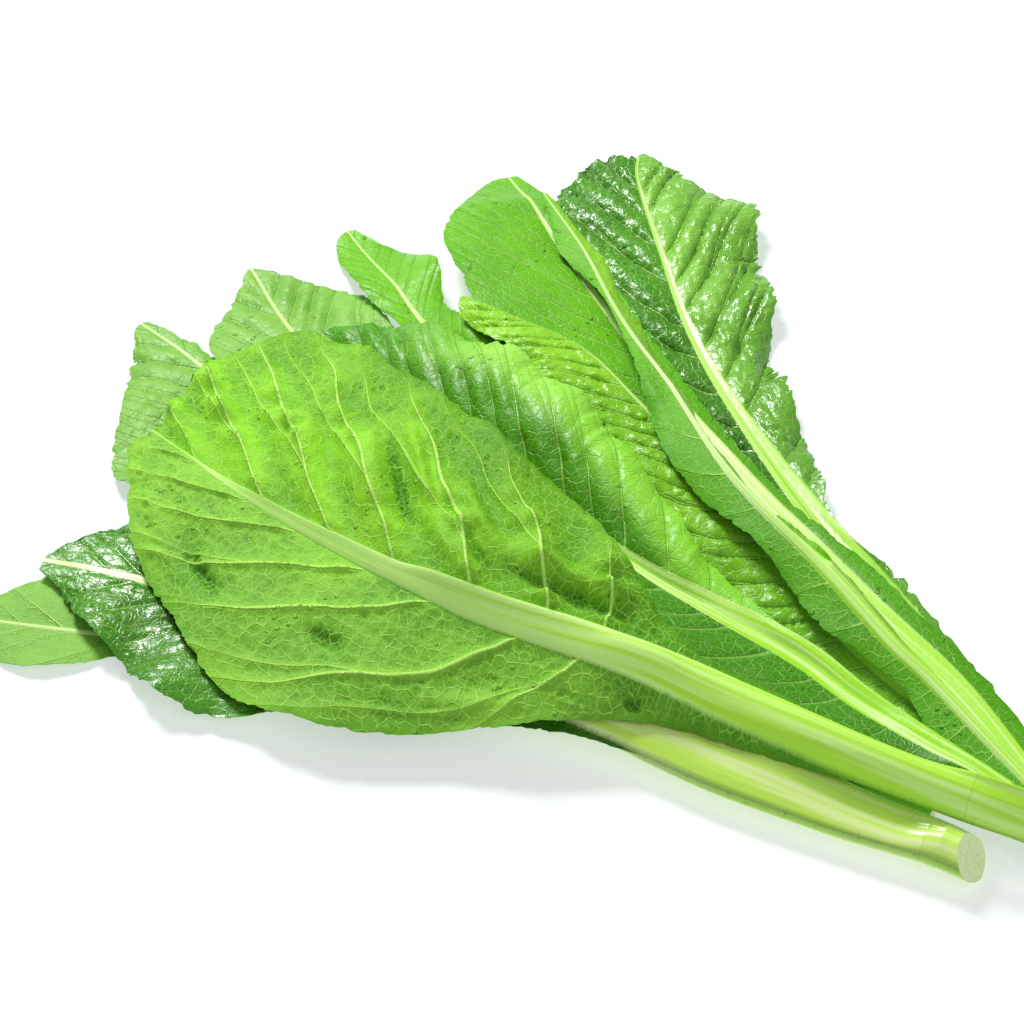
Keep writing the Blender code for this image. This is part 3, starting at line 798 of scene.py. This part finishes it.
def blade_relief(look, gather, vein, along_mm, out_mm, edge_mm, seed):
    """Height over the plain blade towards its upper side, in millimetres, and the net of veins."""
    phase, fork = vein
    frac = phase - np.floor(phase)
    to_vein = np.minimum(frac, 1 - frac) * look.vein_gap
    to_branch = np.abs(frac - fork) * look.vein_gap
    taper = np.clip(edge_mm / 30, 0.25, 1)
    ridge = np.exp(-((to_vein / (0.5 + 0.9 * taper)) ** 2))
    ridge = np.maximum(ridge, 0.6 * np.exp(-((to_branch / (0.5 + 0.5 * taper)) ** 2)))
    ridge = look.vein_height * taper * ridge
    large = blisters(along_mm, out_mm, PUCKER_CELL, 31, seed)
    small = blisters(along_mm, out_mm, SMALL_PUCKER_CELL, 17, seed)
    nearest = np.minimum(to_vein, 0.5 + to_branch)
    valley = np.clip(nearest / (0.6 + 0.1 * look.vein_gap), 0, 1) ** 0.7
    uneven = 0.8 + 0.35 * wander(along_mm + 2 * out_mm, 31, seed + 8)
    hump = valley * (0.4 + 0.35 * large + 0.25 * small) - 0.5
    hump = look.pucker * uneven * hump * np.clip((edge_mm + 4) / 12, 0, 1)
    drawn = GATHER_OUT * look.vein_gap
    gathered = gather * (0.5 + 0.5 * np.cos(2 * np.pi * frac))
    gathered = gathered * np.exp(-(((out_mm - drawn) / drawn) ** 2)) * np.clip(uneven, 0.3, 1.2)
    return hump - ridge - gathered, valley * (0.55 * large + 0.45 * small)


# %% Folds
def crease_relief(look, side, along_mm, out_mm):
    """Folds in the blade, each a ridge or a valley along a short line."""
    height = np.zeros_like(out_mm)
    for crease_side, (a, b), (c, d), depth, width in look.creases:
        if crease_side != side:
            continue
        run = ((along_mm - a) * (c - a) + (out_mm - b) * (d - b)) / np.hypot(c - a, d - b) ** 2
        run = np.clip(run, 0, 1)
        away = np.hypot(along_mm - a - run * (c - a), out_mm - b - run * (d - b))
        ends = np.sin(np.pi * (run * 0.8 + 0.1))
        height += depth * np.exp(-((away / width) ** 2)) * ends
    return height


# %% [markdown]
# ## The detailed leaf
# All of it comes together on one fine grid: the plain cross-sections, the lift from the heap read
# smoothly between its coarse places, the relief, and a rib that stands out on the underside. The
# two skins draw together towards the margin. First come its steps, one by one.

# %% Read the lift smoothly
def smooth_lift(leaf, share, columns):
    """The lift of a leaf at fine stations and columns."""
    coarse = station_shares(leaf)
    row = np.interp(share, coarse, np.arange(len(coarse))) / (len(coarse) - 1)
    across = np.concatenate([4 - columns[:0:-1], 4 + columns]) / 8
    return smooth(smooth(lifts[leaf.name], row).T, across).T


# %% The reach of both halves, with their teeth
MARGIN_LENGTH = 1.15
FULL_TEETH = 5 * MM
APRON_START, APRON_END, APRON_FADE = 0.06, 0.42, 0.12


def toothed_blades(leaf, look, share, length, seed):
    """How far each half of the blade reaches at the stations."""
    at_stalk = np.clip(share / APRON_START, 0, 1) * np.clip((APRON_END - share) / APRON_FADE, 0, 1)
    blades = []
    for side in (0, 1):
        blade = np.maximum(waved_reach(leaf, side, share) + look.apron[side] * MM * at_stalk, 0)
        teeth = margin_teeth(share * length * MARGIN_LENGTH, look, seed + 10 * side)
        blades.append(blade + teeth * np.clip(blade / FULL_TEETH, 0, 1) * MM)
    return blades


# %% The relief of both halves
def leaf_relief(look, on_right, along_mm, past_mm, edge_mm, seed):
    """The height of the relief, and the vein coordinate, the forks and the net, on both halves."""
    relief_up, phase, fork, net = [np.zeros_like(along_mm) for _ in range(4)]
    for side in (0, 1):
        half = on_right == bool(side)
        along, past, edge = along_mm[:, half], past_mm[:, half], edge_mm[:, half]
        phase[:, half] = vein_phase(look, side, along, past, seed)
        fork[:, half] = fork_share(look, phase[:, half], past, seed + side)
        vein = phase[:, half], fork[:, half]
        height, net[:, half] = blade_relief(look, look.gather[side], vein, along, past, edge, seed)
        relief_up[:, half] = height + crease_relief(look, side, along, past)
    return relief_up, phase, fork, net


# %% The tip
TIP_FRINGE = 0.04
TIP_BOW = 0.25
SHOULDER_START = 0.86
SHOULDER_OUT = 30


def tip_forward(look, on_right, share, length, out, full, past_mm, seed):
    """How far the blade is drawn forward near the tip: into a toothed bow, and a broad shoulder."""
    teeth = margin_teeth(out / MM + 40.0 * on_right, look, seed + 3) * MM
    at_tip = np.clip((share[:, None] - 1 + TIP_FRINGE) / TIP_FRINGE, 0, 1) ** 2
    bow = TIP_FRINGE * length * MM * TIP_BOW * (1 - (out / full.max(axis=1, keepdims=True)) ** 2)
    near_tip = np.clip((share[:, None] - SHOULDER_START) / (1 - SHOULDER_START), 0, 1)
    shoulder = np.where(on_right, look.shoulder[1], look.shoulder[0]) * MM
    shoulder = shoulder * near_tip**2 * (3 - 2 * near_tip)
    return at_tip * (teeth + bow) + shoulder * np.clip(past_mm / SHOULDER_OUT, 0, 1)


# %% Work out a detailed leaf
FINE_THICKNESS = 0.62 * MM
MARGIN_THICKNESS = 0.3 * MM
THIN_MARGIN = 6
RELIEF_START = 2.5
FULL_RELIEF = 10 * MM
UV_UNIT = 10


def detailed_leaf(leaf, look, share):
    """The two skins of a detailed leaf, and what its finish needs to know at each place."""
    seed = sum(map(ord, leaf.name))
    leaf = leaf._replace(rib=(leaf.rib[0] * look.slim, leaf.rib[1] * look.slim**2))
    columns = spread_columns(look)
    fine_spine, along = spine_frame(leaf, np.linspace(0, 1, 400))[0], spine_frame(leaf, share)[1]
    length = np.linalg.norm(np.diff(fine_spine, axis=0), axis=1).sum() / MM
    blades = toothed_blades(leaf, look, share, length, seed)
    points, normals, out, rib, full = both_halves(leaf, share, blades, columns)
    points = points + smooth_lift(leaf, share, columns)[..., None] * (0, 0, 1)
    out_mm, edge_mm, rib_mm = out / MM, (full - out) / MM, rib / MM
    past_mm = np.maximum(out_mm - rib_mm, 0)
    along_mm = share[:, None] * length + leaf.sweep * past_mm
    on_right = np.arange(out.shape[1]) >= len(columns)
    sign = np.where(on_right, 1, -1)
    relief_up, phase, fork, net = leaf_relief(look, on_right, along_mm, past_mm, edge_mm, seed)
    on_blade = np.clip(past_mm / RELIEF_START, 0, 1)
    relief_up = relief_up * on_blade * np.clip((full - rib) / FULL_RELIEF, 0, 1)
    points = points + (leaf.face * relief_up * MM)[..., None] * normals
    forward = tip_forward(look, on_right, share, length, out, full, past_mm, seed)
    points = points + forward[..., None] * along[:, None]
    thin = np.clip(edge_mm / THIN_MARGIN, 0, 1)
    thickness = MARGIN_THICKNESS + (FINE_THICKNESS - MARGIN_THICKNESS) * thin
    relief = rib_relief(leaf, share, out, rib)
    upper, lower = two_skins(leaf, share, points, normals, relief, thickness, look.crown)
    marks = {
        "rib": out_mm / rib_mm,
        "edge": edge_mm,
        "net": net,
        "fork": fork,
        "phase": phase,
        "rise": -relief_up,
        "along": share[:, None] + 0 * out,
        "across": sign * out_mm / rib_mm,
    }
    uv = np.stack([along_mm / UV_UNIT, sign * past_mm / UV_UNIT], -1)
    return upper - middle, lower - middle, marks, uv


# %% [markdown]
# ## Shader maths in plain Python
# The finish of a leaf is a long sum of masks. Wired by hand, that is dozens of Math nodes. A small
# class wraps a socket instead, so that an expression such as 1 - mask * 0.5 adds those nodes by
# itself, and one method of a second class adds any other kind of node.

# %% Wrap a socket
class Wire:
    """An output socket that can be used like a number."""

    def __init__(self, maker, socket):
        self.maker, self.socket = maker, socket

    def __add__(self, other):
        return self.maker.maths("ADD", self, other)

    def __sub__(self, other):
        return self.maker.maths("SUBTRACT", self, other)

    def __mul__(self, other):
        return self.maker.maths("MULTIPLY", self, other)

    def __truediv__(self, other):
        return self.maker.maths("DIVIDE", self, other)

    def __radd__(self, other):
        return self.maker.maths("ADD", other, self)

    def __rsub__(self, other):
        return self.maker.maths("SUBTRACT", other, self)


# %% Make a material node by node
class Finish:
    """A material, with methods that add its nodes."""

    def __init__(self, name):
        self.material = bpy.data.materials.new(name)
        self.material.use_nodes = True
        self.tree = self.material.node_tree
        self.shader = self.tree.nodes["Principled BSDF"]
        self.marks = {}

    def connect(self, socket, value):
        """Links a wire to a socket, or sets the socket to a number or a colour."""
        if isinstance(value, Wire):
            self.tree.links.new(value.socket, socket)
        elif isinstance(value, tuple) and len(value) == 3 and socket.type == "RGBA":
            socket.default_value = (*value, 1)
        else:
            socket.default_value = value

    def node(self, kind, settings=None, values=None, output=0):
        """Adds a node with its settings, then joins or sets its sockets."""
        made = self.tree.nodes.new(kind)
        for key, value in (settings or {}).items():
            setattr(made, key, value)
        for key, value in (values or {}).items():
            self.connect(made.inputs[key], value)
        return Wire(self, made.outputs[output])

    def maths(self, operation, first, second=0.0):
        return self.node("ShaderNodeMath", {"operation": operation}, {0: first, 1: second})

    def mark(self, name):
        """An attribute that the mesh keeps at each place of the leaf."""
        if name not in self.marks:
            settings = {"attribute_name": name}
            self.marks[name] = self.node("ShaderNodeAttribute", settings, output="Fac")
        return self.marks[name]

    def mix(self, factor, first, second):
        settings = {"data_type": "RGBA", "clamp_factor": True}
        return self.node("ShaderNodeMix", settings, {0: factor, 6: first, 7: second}, output=2)

    def step(self, value, low, high):
        """A smooth step from 0 at low to 1 at high."""
        settings = {"interpolation_type": "SMOOTHSTEP"}
        bounds = {0: value, 1: low, 2: high, 3: 0.0, 4: 1.0}
        return self.node("ShaderNodeMapRange", settings, bounds)

    def noise(self, vector, scale, detail):
        values = {"Vector": vector, "Scale": scale, "Detail": detail, "Roughness": 0.55}
        return self.node("ShaderNodeTexNoise", None, values, output="Fac")

    def borders(self, vector, scale):
        """Distance to the borders of an uneven net of cells."""
        settings = {"feature": "DISTANCE_TO_EDGE", "voronoi_dimensions": "2D"}
        values = {"Vector": vector, "Scale": scale}
        return self.node("ShaderNodeTexVoronoi", settings, values, output="Distance")

    def shifted(self, vector, amount, scale):
        """A coordinate pushed aside by a wobble, so that straight borders bend."""
        push = self.node("ShaderNodeCombineXYZ", None, {0: amount * scale, 1: amount * -scale})
        return self.node("ShaderNodeVectorMath", {"operation": "ADD"}, {0: vector, 1: push})

    def bump(self, height, distance, strength):
        """A normal that shows a height which the mesh is too coarse for."""
        values = {"Strength": strength, "Distance": distance, "Height": height}
        return self.node("ShaderNodeBump", None, values)

    def use(self, **sockets):
        """Joins or sets sockets of the shader, whose names have spaces here for underscores."""
        for key, value in sockets.items():
            self.connect(self.shader.inputs[key.replace("_", " ")], value)
        return self.material


# %% [markdown]
# ## Painted veins
# The side veins are painted along their relief, from the same vein coordinate. The small veins
# between them are too fine for the mesh. A leaf's net of small veins has uneven closed cells, so
# it is drawn by the borders of such cells, at two sizes. They lie in the leaf's own coordinate
# along and out from the midrib, so they turn with the leaf as it bends.

# %% Masks of the veins
SMALL_CELLS = 2.6
TINY_CELLS = 5.6


def vein_masks(f, look):
    """Masks of the side veins, of the net between them, and of its finest part."""
    uv, phase = f.node("ShaderNodeUVMap", {"uv_map": "veins"}), f.mark("phase")
    to_vein = f.maths("PINGPONG", phase, 0.5) * look.vein_gap
    to_branch = f.maths("ABSOLUTE", f.maths("FRACT", phase) - f.mark("fork")) * look.vein_gap
    width = f.step(f.mark("edge"), 0.0, 35.0) * 0.5 + 0.25
    branch = 1 - f.step(to_branch, width * 0.3, width * 1.1)
    side_vein = 1 - f.step(to_vein, width * 0.5, width * 1.5)
    side_vein = f.maths("MAXIMUM", side_vein, branch * 0.7)
    wobble = f.noise(uv, 2.3, 2.0) - 0.5
    small = f.borders(f.shifted(uv, wobble, 0.16), SMALL_CELLS) / SMALL_CELLS * UV_UNIT
    tiny = f.borders(f.shifted(uv, wobble, 0.12), TINY_CELLS) / TINY_CELLS * UV_UNIT
    broken = f.step(f.noise(uv, 1.9, 2.0), 0.36, 0.6)
    net = (1 - f.step(small, 0.06, 0.34)) * (broken * 0.6 + 0.2)
    fine_net = (1 - f.step(tiny, 0.04, 0.26)) * (0.45 - broken * 0.25)
    return side_vein, net, fine_net


# %% [markdown]
# ## Green blades and pale stalks
# A fresh blade is painted a deep green in its hollows and folds, as painted shade, and paler where
# it stands up, as painted light, and it is paler towards the tip. Its two sides differ, and so may
# its two halves, and a band of painted light lies along a rolled crest. The stalk is pale and
# fibrous. Noise in a coordinate that is drawn out along it gives the long streaks, and from a
# quarter of the way up the stalk is painted paler as painted light on the midrib.

# %% The green of a blade
# The bright green of the painted light on a crest
CREST_LIGHT_GREEN = ((0.2, 0.62, 0.01), (0.4, 0.84, 0.1))
# The near-black green of the painted shade deep in a fold
FOLD_SHADE_GREEN = (0.012, 0.12, 0.0)


def blade_green(f, look, drift):
    """The green of the blade on both of its sides, with painted light where it stands up and painted
    shade in its hollows.
    """
    under, along, across = f.mark("under"), f.mark("along"), f.mark("across")
    # Painted light and shade: the blade is painted paler where its relief stands up and darker in its
    # hollows
    relief_light_and_shade = f.step(f.mark("rise") * (under * 2 - 1), -2.0, 3.2)
    mottled = f.step(drift * 1.1 + 0.3 - f.mark("net") * 0.16, 0.45, 1.0)
    patch_and_relief_light = (mottled * 0.6 + relief_light_and_shade * 0.7) * (f.step(along, 0.35, 0.85) * 0.6 + 0.4)
    green = f.mix(under, f.mix(patch_and_relief_light, *look.upper), f.mix(patch_and_relief_light, *look.under))
    if look.left:
        on_left = 1 - f.step(across, -1.0, 0.6)
        green = f.mix(on_left, green, f.mix(patch_and_relief_light, *look.left))
    # Painted light along the crest by the right margin, fading near the tip as painted shadow of the
    # leaf above
    if look.crest:
        lit_crest_band = 1 - f.step(f.mark("edge"), look.crest * 0.4, look.crest * 1.2)
        lit_crest_band = lit_crest_band * (1 - f.step(along, 0.72, 0.98)) * f.step(across, 0.0, 1.0)
        green = f.mix(lit_crest_band, green, f.mix(patch_and_relief_light, *CREST_LIGHT_GREEN))
    # Painted shade: deep folds of the underside are darkened towards a near-black green
    painted_fold_shade = f.step(f.mark("rise") * -1, 0.7, 2.2) * under
    return f.mix(painted_fold_shade * 0.45, green, FOLD_SHADE_GREEN)


# %% The streaks of a stalk
def stalk_green(f, look):
    """The pale green of the stalk and the midrib, with painted light on the midrib."""
    along = f.mark("along")
    drawn_out = f.node("ShaderNodeCombineXYZ", None, {0: f.mark("across") * 3.2, 1: along * 3.0})
    # Painted light: from a quarter of the way up, more of the pale streak colour shows
    streaks_and_light = f.noise(drawn_out, 1.0, 2.0) + f.step(along, 0.25, 0.55) * 0.16
    return f.mix(f.step(streaks_and_light, 0.42, 0.68), look.stalk, look.streak)


# %% [markdown]
# ## The whole finish
# The upper side of a leaf is waxy and shines, and its underside is duller. The veins stand out
# below and are sunk above, so their bump changes its sign with the side. Water from the wash sits
# on the blades in small beads. They could be modelled, but hundreds of them would weigh more than
# the leaves, so they are a bump too.

# %% Beads of water
def water_beads(f, place):
    """A mask of small round beads, which come in patches."""
    settings = {"feature": "F1", "voronoi_dimensions": "3D"}
    values = {"Vector": place, "Scale": 260.0, "Randomness": 1.0}
    to_bead = f.node("ShaderNodeTexVoronoi", settings, values, output="Distance")
    return (1 - f.step(to_bead, 0.1, 0.26)) * f.step(f.noise(place, 45.0, 1.0), 0.56, 0.64)


# %% Paint a leaf
def leaf_finish(name, look):
    """The finish of one leaf, on both of its sides."""
    f = Finish(name)
    place = f.node("ShaderNodeTexCoord", output="Object")
    edge, under = f.mark("edge"), f.mark("under")
    side_vein, net, fine_net = vein_masks(f, look)
    drift = f.noise(place, 28.0, 3.0)
    on_blade = f.step(f.mark("rib"), 0.9, 1.08)
    beads = water_beads(f, place) * on_blade
    green = blade_green(f, look, drift)
    net_share = (net + fine_net) * (under * 0.2 + 0.4) * f.step(edge, 0.0, 3.0)
    vein_share = side_vein * (under * 0.6 + 0.35) * f.step(edge, 0.0, 12.0)
    blade = f.mix(vein_share, f.mix(net_share, green, look.vein), look.vein)
    midrib = f.mix(f.step(f.mark("along"), 0.72, 0.98) * 0.3, stalk_green(f, look), green)
    height = (net * 0.5 + fine_net * 0.25 + side_vein * 0.8) * (under * 2 - 1) * on_blade
    height = height + f.noise(place, 500.0, 2.0) * 0.2 + beads * 1.6
    rough = look.gloss + under * 0.12 + (drift - 0.5) * 0.25 - beads * 0.2
    f.shader.inputs["Specular IOR Level"].default_value = look.shine
    normal = f.bump(height, 0.6 * MM, 0.8)
    return f.use(Base_Color=f.mix(on_blade, midrib, blade), Roughness=rough, Normal=normal)


# %% [markdown]
# ## From numbers to a mesh
# Each leaf starts as a flat grid from the Add menu, with one vertex for each station and column.
# Solidify turns it into a closed sheet with a rim, and then its two sides are moved to the two
# skins. The finish needs to know where on the leaf it is, so the vein coordinate is kept as a UV
# map and the rest as attributes.

# %% Keep a value at each place of a mesh
def keep_mark(mesh, name, values):
    """Stores a number at each vertex, for the finish to read."""
    layer = mesh.attributes.new(name, "FLOAT", "POINT")
    layer.data.foreach_set("value", np.asarray(values, np.float32).ravel())


# %% Shape a leaf from a grid
def grow(slot, face, made, materials):
    """A closed leaf or stem that stands for a measured node. A leaf on its face has its underside
    on top. The last of the materials is for the foot, which is a cut face."""
    upper, lower, marks, uv = made
    rows, columns = upper.shape[:2]
    count = rows * columns
    bpy.ops.object.select_all(action="DESELECT")
    bpy.ops.mesh.primitive_grid_add(x_subdivisions=columns - 1, y_subdivisions=rows - 1, size=1)
    piece = bpy.context.object
    piece.name = slot + "_grown"
    piece.modifiers.new("sheet", "SOLIDIFY").thickness = MM
    bpy.ops.object.modifier_apply(modifier="sheet")
    mesh = piece.data
    both = np.concatenate([upper.reshape(-1, 3), lower.reshape(-1, 3)])
    mesh.vertices.foreach_set("co", both.astype(np.float32).ravel())
    for key, values in marks.items():
        keep_mark(mesh, key, np.tile(values.ravel(), 2))
    keep_mark(mesh, "under", np.repeat([0, 1] if face > 0 else [1, 0], count))
    corners = np.zeros(len(mesh.loops), int)
    mesh.loops.foreach_get("vertex_index", corners)
    mesh.uv_layers[0].name = "veins"
    flat = uv.reshape(-1, 2)[corners % count]
    mesh.uv_layers[0].data.foreach_set("uv", flat.astype(np.float32).ravel())
    for material in materials:
        mesh.materials.append(material)
    for polygon in mesh.polygons:
        if max(i % count for i in polygon.vertices) < columns:
            polygon.material_index = len(materials) - 1
    mesh.update()
    bpy.ops.object.shade_smooth_by_angle(angle=1.0)
    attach(piece, "root")
    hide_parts(slot)
    return piece


# %% [markdown]
# ## Growing the bunch
# The leaves are made in the order in which they were laid. Two of them keep a length of the stem
# that they grew on, which is a piece of its own, parted from the leaf by less than half a
# millimetre as in the measured model.

# %% A cut stem's pale core
def core_finish(name):
    """The wet pale core of a cut stem."""
    f = Finish(name)
    place = f.node("ShaderNodeTexCoord", output="Object")
    speckle = f.noise(place, 900.0, 2.0)
    colour = f.mix(f.step(speckle, 0.3, 0.7), (0.68, 0.86, 0.36), (0.86, 0.96, 0.6))
    return f.use(Base_Color=colour, Roughness=0.35, Normal=f.bump(speckle, 0.3 * MM, 0.3))


# %% Grow all the leaves
HAIRLINE = 0.0002
FIRST_STATION = 0.002
STEM_ROWS = 24

core = core_finish("stem_core")
for leaf in LEAVES:
    look = LOOKS[leaf.name]
    finish = leaf_finish(leaf.name + "_finish", look)
    share = spread_stations(leaf, look)
    if leaf.stem:
        stem_name = leaf.name.replace("leaf", "stem")
        made = detailed_leaf(leaf, look, np.linspace(0, leaf.stem, STEM_ROWS))
        grow(stem_name, leaf.face, made, [finish, core])
        above = share[share > leaf.stem + FIRST_STATION]
        share = np.concatenate([[leaf.stem + HAIRLINE], above])
    piece = grow(leaf.name, leaf.face, detailed_leaf(leaf, look, share), [finish, core])
    print(leaf.name, len(piece.data.polygons), "faces")
